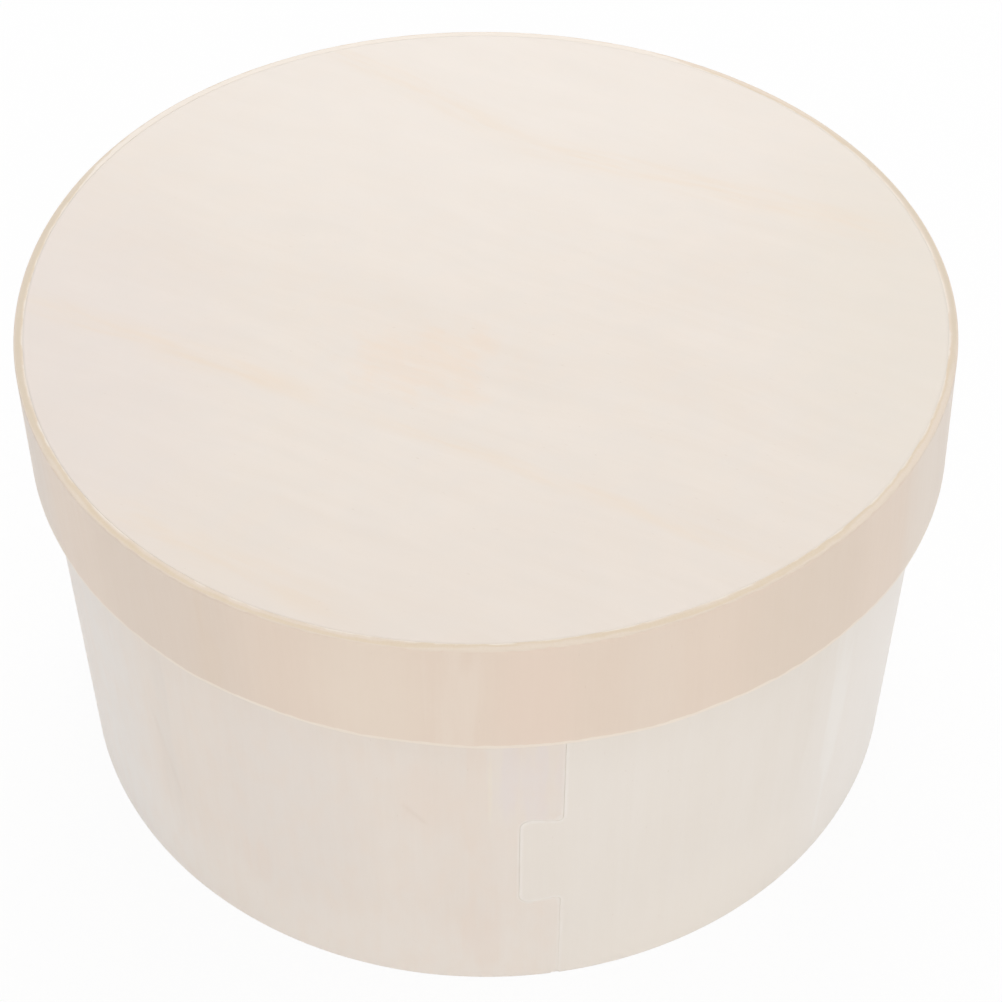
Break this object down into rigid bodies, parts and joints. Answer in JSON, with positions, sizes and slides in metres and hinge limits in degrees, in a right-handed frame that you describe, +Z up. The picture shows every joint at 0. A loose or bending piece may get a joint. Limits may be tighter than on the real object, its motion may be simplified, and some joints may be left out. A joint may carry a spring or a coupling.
{
  "type": "cheese box",
  "caption": "Round pale bentwood cheese box: a lift-off lid over a deeper base, each a thin strip with interlocked ends round a flat panel.",
  "frame": {"origin": "centre of the foot, in the plane that the box stands on", "axes": "+Z up the box's round axis; -Y is the front, where the base strip's seam shows a little to the right of the middle; +X is to the right there"},
  "size_m": [0.2, 0.2, 0.112],
  "materials": {
    "base_band_wood": "bare sanded pale wood, grain upright, matt",
    "base_panel_wood": "bare sanded pale wood, grain straight across, matt",
    "lid_band_wood": "bare sanded wood, a little warmer, grain upright, matt",
    "lid_panel_wood": "bare sanded pale wood with faint warm streaks across, matt"
  },
  "bodies": {
    "base": {"base_band": "base_band_wood", "base_disc": "base_panel_wood"},
    "lid": {"lid_band": "lid_band_wood", "lid_disc": "lid_panel_wood"}
  },
  "joints": [
    {"name": "lid_lift", "type": "slide", "parent": "base", "child": "lid", "axis": [0, 0, 1], "range_m": [0, 0.12]}
  ]
}
